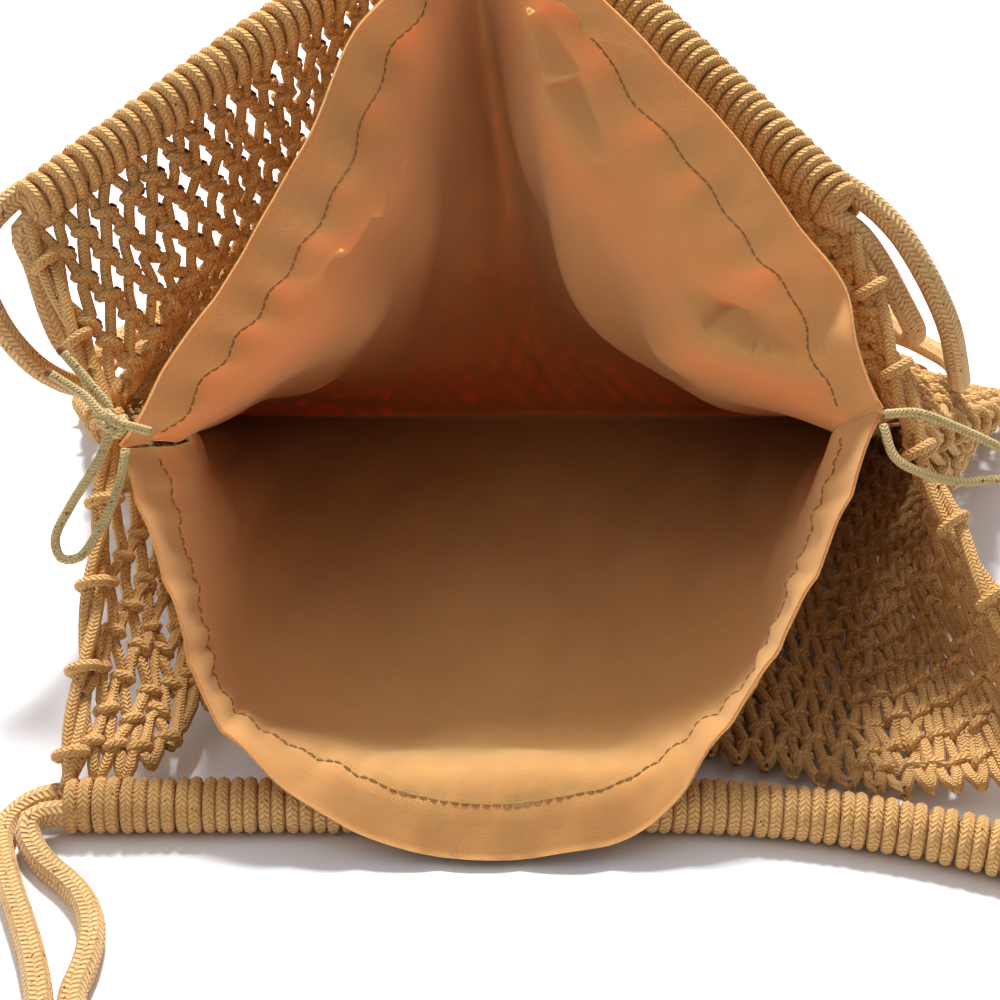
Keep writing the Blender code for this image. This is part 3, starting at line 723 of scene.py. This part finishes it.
def knotted_panel(surface, bar, sizes, below, seed):
    """The skin of a panel: cords that cross at the knots, each knot bound by a turn of cord.

    below is the lowest and highest that the net reaches where it lies flat.
    """
    rng = np.random.default_rng(seed)
    rows, knots, radius = sizes.rows, sizes.knots, sizes.cord / 2
    grid = panel_knots(surface, bar, rows, knots)
    names = list(grid)
    index = {name: k for k, name in enumerate(names)}
    point, aside, ahead, out = (
        np.array([tuple(grid[name][k]) for name in names]) for k in range(4)
    )
    real = np.array([not grid[name][4] and name[0] >= 0 and name[0] < rows for name in names])
    jitter = rng.normal(0, 0.00035, point.shape) * real[:, None]
    point = point + jitter
    turned = rng.normal(0, 0.22, len(names)) * real
    aside, ahead = (
        aside * np.cos(turned)[:, None] + ahead * np.sin(turned)[:, None],
        ahead * np.cos(turned)[:, None] - aside * np.sin(turned)[:, None],
    )
    size = 1 + rng.normal(0, 0.06, len(names))

    starts, ends, ways = [], [], []
    for row, column in names:
        if row >= rows:
            continue
        odd = row % 2
        for way in (-1, 1):
            below_column = column + (way - 1) // 2 + odd
            if (row + 1, below_column) in index:
                starts.append(index[row, column])
                ends.append(index[row + 1, below_column])
                ways.append(way)
    a, b, way = np.array(starts), np.array(ends), np.array(ways)[:, None]
    leave = point[a] + (aside[a] * way * 0.0017 + ahead[a] * 0.0030) * size[a][:, None]
    enter = point[b] - (aside[b] * way * 0.0017 + ahead[b] * 0.0030) * size[b][:, None]
    lift = out[a] * way * radius * 0.55
    settle = out[b] * way * radius * 0.55
    middle = (leave + enter) / 2 + out[a] * rng.normal(0, 0.0005, (len(a), 1))
    at_bar = np.array([names[k][0] == -1 for k in a])
    leave[at_bar] = point[a][at_bar]
    paths = np.stack([point[a] + lift, leave, middle, enter, point[b] + settle], 1)
    facing = np.repeat(out[a][:, None], 5, 1)
    if below:
        paths[..., 2] = laid_flat(paths[..., 2], radius, below)
    strands = tubes(paths, radius * rng.uniform(0.92, 1.04, (len(a), 1)), facing, 6)

    k = np.flatnonzero(real)
    turns = np.linspace(0, 1, 10)
    angle = (turns * 1.12 - 0.06) * 2 * math.pi
    wide, deep = 0.0029, 0.0021
    lean = rng.choice((-1.0, 1.0), (len(k), 1, 1), p=(0.2, 0.8))
    span = size[k][:, None, None]
    ring = (
        aside[k][:, None] * (np.cos(angle) * wide)[None, :, None]
        + out[k][:, None] * (np.sin(angle) * deep)[None, :, None]
        + ahead[k][:, None] * (np.cos(angle) * 0.0012 + (turns - 0.5) * 0.0016)[None, :, None]
        * lean
    ) * span
    turns_at = point[k][:, None] + ring
    if below:
        turns_at[..., 2] = laid_flat(turns_at[..., 2], radius, below)
    binds = tubes(turns_at, radius * 0.94, np.repeat(ahead[k][:, None], len(turns), 1), 6)
    corners, faces, places = joined(strands, binds)
    return in_frame(corners), faces, places


def laid_flat(heights, radius, room):
    """Heights of cord middles, kept between the floor and the lining where the net lies flat."""
    low, high = room
    flat = heights < high + radius
    pressed = np.minimum(heights, high - radius + (heights - high + radius).clip(0) * 0.5)
    return np.maximum(np.where(flat, pressed, heights), low + radius)


class NETBAG_OT_panels(bpy.types.Operator):
    """Knot the front and the rear panel of the net"""

    bl_idname = "netbag.panels"
    bl_label = "Net panels"

    def execute(self, context):
        sizes = context.scene.net_bag_sizes
        cord = finish_of("net_cord")
        front = knotted_panel(front_net, front_bar, sizes, (0.0001, 0.0072), 11)
        rear = knotted_panel(rear_net, rear_bar, sizes, None, 12)
        piece("knotted_net_front", front, cord, ["net_front"])
        piece("knotted_net_rear", rear, cord, ["net_rear"])
        return {"FINISHED"}


class NETBAG_OT_bars(bpy.types.Operator):
    """Wrap the two rim bars with net cord"""

    bl_idname = "netbag.bars"
    bl_label = "Rim bars"

    def execute(self, context):
        sizes = context.scene.net_bag_sizes
        radius = sizes.cord / 2
        for name, bar, slant, seed in (
            ("rim_bar_front", front_bar, 0.0005, 21), ("rim_bar_rear", rear_bar, 0.0034, 22)
        ):
            rng = np.random.default_rng(seed)
            count = 2 * sizes.knots
            at = (np.arange(count) + 0.5) / count * 2 - 1
            middle = np.array([tuple(bar(x)) for x in at])
            axis = unit(np.array([
                tuple(bar(min(1, x + 0.01)) - bar(max(-1, x - 0.01))) for x in at
            ]))
            down = np.array((0.0, 0.35, -1.0)) + np.zeros_like(axis)
            down = unit(down - axis * np.sum(down * axis, 1)[:, None])
            side = np.cross(axis, down)
            turns = np.linspace(0, 1, 19)
            angle = turns[None] * 2 * math.pi + rng.normal(0, 0.08, (count, 1))
            reach = BAR_RADIUS - radius - np.abs(rng.normal(0, 0.00018, (count, 1)))
            pair = np.where(np.arange(count) % 2, -1, 1)[:, None] * 0.00012
            tilt = slant * (1 + rng.normal(0, 0.12, (count, 1)))
            along = tilt * np.cos(angle + 2.4) + pair + rng.normal(0, 0.0001, (count, 1))
            if bar is rear_bar:
                along = along * -np.sign(at + 0.02)[:, None]
            paths = (
                middle[:, None] + axis[:, None] * along[..., None]
                + (down[:, None] * np.cos(angle)[..., None]
                   + side[:, None] * np.sin(angle)[..., None]) * reach[..., None]
            )
            facing = np.repeat(axis[:, None], len(turns), 1)
            wraps = tubes(paths, radius * 1.05, facing, 8)
            line = np.array([tuple(bar(x)) for x in np.linspace(-0.99, 0.99, 40)])
            core = one_cord(line, BAR_RADIUS - 1.6 * radius, 12)
            corners, faces, places = joined(wraps, core)
            corners[:, 2] = np.maximum(corners[:, 2], 0.0001)
            piece(f"wrapped_{name}", (in_frame(corners), faces, places),
                  finish_of("net_cord"), [name])
        return {"FINISHED"}


def twisted_pair(line, radius, apart, turn_length, sides=8):
    """Two cords that lie along a line and turn slowly round each other."""
    line = np.asarray(line)
    far = np.concatenate([[0], np.cumsum(np.linalg.norm(np.diff(line, axis=0), axis=1))])
    facing = steady_facing(line)
    ahead = unit(np.gradient(line, axis=0))
    side = np.cross(ahead, facing)
    parts = []
    for half in (0, math.pi):
        angle = far / turn_length * 2 * math.pi + half
        shift = facing * np.cos(angle)[:, None] + side * np.sin(angle)[:, None]
        parts.append(one_cord(line + shift * apart, radius, sides))
    return joined(*parts)


def edge_places(across, count):
    """Along a side's free edges, from the front bar by the seam's top to the rear bar."""
    line = []
    for surface, bar, slit in (
        (front_net, front_bar, FRONT_SLIT), (rear_net, rear_bar, REAR_SLIT)
    ):
        first = share_clear_of(surface, bar, across, BAR_RADIUS - 0.004)
        half = [tuple(surface(across, first + (slit - first) * k / count))
                for k in range(count + 1)]
        line += half if surface is front_net else half[::-1]
    rounded = np.array(line)
    for _ in range(3):
        rounded[1:-1] = (rounded[:-2] + rounded[1:-1] * 2 + rounded[2:]) / 4
    return rounded


class NETBAG_OT_edges(bpy.types.Operator):
    """Lay the doubled cords along the net's free edges and seams"""

    bl_idname = "netbag.edges"
    bl_label = "Edge and seam cords"

    def execute(self, context):
        radius = context.scene.net_bag_sizes.cord / 2
        cord = finish_of("net_cord")
        for side, across in (("left", -1), ("right", 1)):
            edge = edge_places(across, 26)
            pair = twisted_pair(edge, radius, radius * 0.95, 0.075)
            hitches = self.hitches(edge, radius)
            piece(f"doubled_edge_cord_{side}", self.placed(joined(pair, hitches)), cord,
                  [f"edge_cord_{side}"])
            top, corner = np.array(seam_top(across)), np.array(net_bottom(across))
            seam = np.linspace(top, corner, 60)
            pair = twisted_pair(seam, radius, radius * 0.8, 0.04)
            hitches = self.hitches(seam, radius)
            piece(f"laced_seam_cord_{side}", self.placed(joined(pair, hitches)), cord,
                  [f"seam_cord_{side}"])
        bottom = np.linspace(np.array(net_bottom(-1)), np.array(net_bottom(1)), 90)
        pair = twisted_pair(bottom, radius, radius * 0.7, 0.03)
        piece("laced_seam_cord_bottom", self.placed(joined(pair, self.hitches(bottom, radius))),
              cord, ["seam_cord_bottom"])
        return {"FINISHED"}

    def hitches(self, line, radius):
        """Turns of cord where the net's rows are tied to a line of doubled cord."""
        line = np.asarray(line)
        far = np.concatenate([[0], np.cumsum(np.linalg.norm(np.diff(line, axis=0), axis=1))])
        at = np.arange(0.010, far[-1] - 0.006, 0.0275)
        middle = np.stack([np.interp(at, far, line[:, k]) for k in range(3)], -1)
        ahead = unit(np.stack([
            np.interp(at + 0.002, far, line[:, k]) - np.interp(at - 0.002, far, line[:, k])
            for k in range(3)
        ], -1))
        side = unit(np.cross(ahead, np.array((0.2, -0.5, 0.8))))
        up = np.cross(side, ahead)
        angle = np.linspace(0, 2 * math.pi * 1.05, 14)
        ring = (side[:, None] * np.cos(angle)[None, :, None]
                + up[:, None] * np.sin(angle)[None, :, None]) * radius * 2.15
        ring = ring + ahead[:, None] * (np.cos(angle) * 0.0012)[None, :, None]
        return tubes(middle[:, None] + ring, radius * 0.92,
                     np.repeat(ahead[:, None], len(angle), 1), 8)

    def placed(self, parts):
        corners, faces, places = parts
        corners = corners.copy()
        corners[:, 2] = np.maximum(corners[:, 2], 0.0001)
        return in_frame(corners), faces, places


# The lining


def pucker(half, across, share, depth):
    """Small ripples of the cloth: gathers along the hem, and soft creases behind it."""
    hem_fade = math.exp(-((depth - 0.016) / 0.010) ** 2)
    ripple = math.sin(across * 61 + 1.7 * math.sin(across * 9)) * 0.0019 * hem_fade
    ripple += math.sin(across * 23 + 2.0) * 0.0014 * math.exp(-depth / 0.03)
    crease = math.sin(across * 7 + share * 9 + 0.8) * math.sin(across * 15 - share * 6) * 0.0030
    return ripple + crease * smooth(0.02, 0.10, depth) * (1 - smooth(0.8, 1.0, share))


def lining_skin(half, columns, rows):
    """The corners of the lining's two faces, its quads and their places in the weave."""
    shares = np.concatenate([
        np.linspace(0, 0.085, 16), np.linspace(0.085, 0.25, 14)[1:],
        np.linspace(0.25, 1, rows)[1:],
    ])
    across = np.linspace(-1, 1, columns + 1)
    middle = np.array([
        [tuple(lining_place(half, x, s)) for x in across] for s in shares
    ])
    along = np.gradient(middle, axis=1)
    back = np.gradient(middle, axis=0)
    out = unit(np.cross(along, back))
    if np.sum(out[..., 2]) * (1 if half == "roof" else -1) < 0:
        out = -out
    far = np.zeros(middle.shape[:2])
    far[1:] = np.cumsum(np.linalg.norm(np.diff(middle, axis=0), axis=2), axis=0)
    wide = np.zeros(middle.shape[:2])
    wide[:, 1:] = np.cumsum(np.linalg.norm(np.diff(middle, axis=1), axis=2), axis=1)
    push = np.array([
        [pucker(half, x, s, far[i, j]) for j, x in enumerate(across)]
        for i, s in enumerate(shares)
    ])
    if half == "floor":
        push = np.abs(push) * -1
    middle = middle + out * push[..., None]
    hem = bpy.context.scene.net_bag_sizes.hem
    thick = np.where(far < hem, 0.0022, 0.0011)
    pinch = np.exp(-((far - hem) / 0.0016) ** 2) * 0.0009
    rim = 1 - np.exp(-(far / 0.0012)) * 0.55
    half_thick = (thick * rim / 2 - pinch / 2)[..., None]
    return middle, out, half_thick, far, wide


def lining_piece(half, columns, rows):
    middle, out, half_thick, far, wide = lining_skin(half, columns, rows)
    outer, inner = middle + out * half_thick, middle - out * half_thick
    outer[..., 2] = np.maximum(outer[..., 2], 0.0002)
    depth, width = middle.shape[:2]
    index = np.arange(depth * width).reshape(depth, width)
    quads = np.stack([index[:-1, :-1], index[:-1, 1:], index[1:, 1:], index[1:, :-1]], -1)
    quads = quads.reshape(-1, 4)
    size = depth * width
    rim = np.concatenate([
        index[0, :-1], index[:-1, -1], index[-1, :0:-1], index[:0:-1, 0]
    ])
    after = np.roll(rim, -1)
    sides = np.stack([rim, rim + size, after + size, after], -1)
    turn = 1 if half == "roof" else -1
    faces = np.concatenate([quads[:, ::turn], quads[:, ::-turn] + size, sides[:, ::-turn]])
    weave = np.stack([wide, far], -1).reshape(-1, 2) * 1000
    weave = np.concatenate([weave, weave])
    corners = np.concatenate([outer.reshape(-1, 3), inner.reshape(-1, 3)])
    return corners, faces, weave[faces]


class NETBAG_OT_lining(bpy.types.Operator):
    """Sew the lining: its floor and roof halves and the hem's running stitch"""

    bl_idname = "netbag.lining"
    bl_label = "Lining"

    def execute(self, context):
        cloth = finish_of("lining_cloth")
        for half in ("floor", "roof"):
            corners, faces, places = lining_piece(half, 130, 40)
            made = piece(f"sewn_lining_{half}", (in_frame(corners), faces, places), cloth,
                         [f"lining_{half}"])
            self.stitching(context, half)
        return {"FINISHED"}

    def stitching(self, context, half):
        """A row of short stitches that follows the hem on both faces of the cloth."""
        sizes = context.scene.net_bag_sizes
        middle, out, half_thick, far, wide = lining_skin(half, 130, 40)
        line, ways = [], []
        for column in range(middle.shape[1]):
            depths = far[:, column]
            line.append([np.interp(sizes.hem, depths, middle[:, column, k]) for k in range(3)])
            ways.append([np.interp(sizes.hem, depths, out[:, column, k]) for k in range(3)])
        line, ways = np.array(line), unit(np.array(ways))
        run = np.concatenate([[0], np.cumsum(np.linalg.norm(np.diff(line, axis=0), axis=1))])
        starts = np.arange(0.004, run[-1] - 0.006, sizes.stitch * 1.28)
        share = np.linspace(0, 1, 5)
        at = starts[:, None] + share[None] * sizes.stitch
        path = np.stack([np.interp(at, run, line[:, k]) for k in range(3)], -1)
        way = np.stack([np.interp(at, run, ways[:, k]) for k in range(3)], -1)
        bow = np.sin(share * math.pi)[None, :, None] * 0.0005
        parts = [
            tubes(path + way * side * (0.0005 + bow), 0.00032, way, 5) for side in (-1, 1)
        ]
        corners, faces, places = joined(*parts)
        piece(f"hem_stitching_{half}", (in_frame(corners), faces, places),
              finish_of("stitching"))


# Free cords


def declared_cord(name, route, diameter, spacing, finish, node, sides=14):
    path = route_points(route, spacing)
    made = piece(name, one_cord(path, diameter / 2, sides), finish_of(finish), [node])
    return made


class NETBAG_OT_handles(bpy.types.Operator):
    """Run the two strands of each braided handle rope"""

    bl_idname = "netbag.handles"
    bl_label = "Handle ropes"

    def execute(self, context):
        rope = context.scene.net_bag_sizes.rope
        for name, route in (
            ("handle_front_outer", HANDLE_FRONT_OUTER), ("handle_front_inner", HANDLE_FRONT_INNER),
            ("handle_rear_outer", HANDLE_REAR_OUTER), ("handle_rear_inner", HANDLE_REAR_INNER),
        ):
            declared_cord(f"braided_{name}", route, rope, 0.004, "handle_rope", name)
        return {"FINISHED"}


def string_knot(name, places, radius):
    """An overhand knot: turns of the string round a middle, given as centre, axis and size."""
    parts = []
    for centre, axis, size, turns in places:
        axis = unit(np.array(axis, dtype=float))
        side = unit(np.cross(axis, (0.1, 0.9, 0.3)))
        up = np.cross(axis, side)
        share = np.linspace(0, 1, 26)
        angle = share * turns * 2 * math.pi
        path = (
            np.array(centre) / 1000 + side * np.cos(angle)[:, None] * size
            + up * np.sin(angle)[:, None] * size
            + axis * ((share - 0.5) * radius * 2.1 * turns)[:, None]
        )
        parts.append(one_cord(path, radius, 10))
    corners, faces, uv = joined(*parts)
    return piece(name, (in_frame(corners), faces, uv), finish_of("drawstring_cord"))


def fused_tip(name, route, radius):
    """The dark end of a cut string."""
    end, before = (np.array(route[k], dtype=float) / 1000 for k in (-1, -2))
    way = unit(end - before)
    path = np.linspace(end - way * 0.0006, end + way * 0.0009, 4)
    corners, faces, places = one_cord(path, radius * 1.04, 10)
    return piece(name, (in_frame(corners), faces, places), finish_of("fused_tip"))


class NETBAG_OT_drawstrings(bpy.types.Operator):
    """Thread the drawstrings, with their knots and fused ends"""

    bl_idname = "netbag.drawstrings"
    bl_label = "Drawstrings"

    def execute(self, context):
        string = context.scene.net_bag_sizes.string
        radius = string / 2
        left = string_knot("drawstring_knot_left", (
            ((-112.6, 61.5, 119.5), (0.75, 0.15, 0.65), 0.0026, 1.6),
            ((-111.0, 60.8, 117.8), (-0.5, -0.2, 0.8), 0.0023, 1.1),
        ), radius)
        right = string_knot("drawstring_knot_right", (
            ((166.5, 59.0, 99.0), (0.35, 0.1, -0.9), 0.0026, 1.6),
            ((167.5, 58.8, 96.5), (0.8, 0.1, -0.4), 0.0022, 1.1),
        ), radius)
        for name, route, knot in (
            ("drawstring_left_loop", DRAWSTRING_LEFT_LOOP, left),
            ("drawstring_left_short", DRAWSTRING_LEFT_SHORT, None),
            ("drawstring_right_upper", DRAWSTRING_RIGHT_UPPER, right),
            ("drawstring_right_lower", DRAWSTRING_RIGHT_LOWER, None),
        ):
            tip = fused_tip(f"{name}_tip", route, radius)
            declared_cord(f"braided_{name}", route, string, 0.002, "drawstring_cord", name,
                          10)
        return {"FINISHED"}


# The stage


class NETBAG_OT_stage(bpy.types.Operator):
    """Set the pale floor, the soft studio light and the camera"""

    bl_idname = "netbag.stage"
    bl_label = "Stage"

    def execute(self, context):
        scene = context.scene
        mesh = bpy.data.meshes.new("studio_floor")
        far = 7.0
        mesh.from_pydata([(-far, -far, 0), (far, -far, 0), (far, far, 0), (-far, far, 0)], [],
                         [(0, 1, 2, 3)])
        mesh.materials.append(finish_of("floor"))
        floor = bpy.data.objects.new("studio_floor", mesh)
        scene.collection.objects.link(floor)
        world = bpy.data.worlds.new("studio_air")
        world.use_nodes = True
        background = world.node_tree.nodes["Background"]
        background.inputs[0].default_value = (0.96, 0.97, 1.0, 1)
        tree = world.node_tree
        way = add(tree, "ShaderNodeTexCoord", out="Generated")
        up, back = (add(tree, "ShaderNodeSeparateXYZ", way, out=axis) for axis in "ZY")
        bright = add(tree, MATH, up, 0.34, add(
            tree, MATH, back, 0.20, 0.22, operation="MULTIPLY_ADD"), operation="MULTIPLY_ADD")
        tree.links.new(add(tree, MATH, bright, 0.06, operation="MAXIMUM"), background.inputs[1])
        scene.world = world
        for name, place, size, watts in (
            ("softbox_above", (-0.12, 0.62, 1.5), 0.30, 40.0),
            ("softbox_front", (-0.9, -0.7, 1.5), 1.6, 5.0),
        ):
            light = bpy.data.lights.new(name, "AREA")
            light.shape = "SQUARE"
            light.size = size
            light.energy = watts
            lamp = bpy.data.objects.new(name, light)
            lamp.location = place
            aim = Vector((0, 0, 0.05)) - Vector(place)
            lamp.rotation_euler = aim.to_track_quat("-Z", "Y").to_euler()
            scene.collection.objects.link(lamp)
        data = bpy.data.cameras.new("camera")
        data.lens = 65
        data.sensor_width = 36
        camera = bpy.data.objects.new("camera", data)
        camera.location = LIP + Vector((0.003, -0.4249, 0.3512))
        camera.rotation_euler = (math.radians(90 - 28), 0, 0)
        scene.collection.objects.link(camera)
        scene.camera = camera
        scene.view_settings.view_transform = "Standard"
        return {"FINISHED"}


class NETBAG_PT_pieces(bpy.types.Panel):
    """The bag's pieces, sizes and colours"""

    bl_idname = "NETBAG_PT_pieces"
    bl_label = "Net Bag"
    bl_space_type = "VIEW_3D"
    bl_region_type = "UI"
    bl_category = "Net Bag"

    def draw(self, context):
        for maker in MAKERS:
            self.layout.operator(maker.bl_idname)
        for group in (context.scene.net_bag_sizes, context.scene.net_bag_colours):
            box = self.layout.box()
            for name in group.__annotations__:
                box.prop(group, name)


MAKERS = (
    NETBAG_OT_stage, NETBAG_OT_handles, NETBAG_OT_drawstrings, NETBAG_OT_bars,
    NETBAG_OT_panels, NETBAG_OT_edges, NETBAG_OT_lining,
)
CLASSES = (NetBagSizes, NetBagColours, *MAKERS, NETBAG_PT_pieces)


def register():
    for made in CLASSES:
        bpy.utils.register_class(made)
    bpy.types.Scene.net_bag_sizes = PointerProperty(type=NetBagSizes)
    bpy.types.Scene.net_bag_colours = PointerProperty(type=NetBagColours)


def unregister():
    del bpy.types.Scene.net_bag_sizes
    del bpy.types.Scene.net_bag_colours
    for made in reversed(CLASSES):
        bpy.utils.unregister_class(made)


def main():
    register()
    for maker in MAKERS:
        group, name = maker.bl_idname.split(".")
        getattr(getattr(bpy.ops, group), name)()


if __name__ == "__main__":
    main()
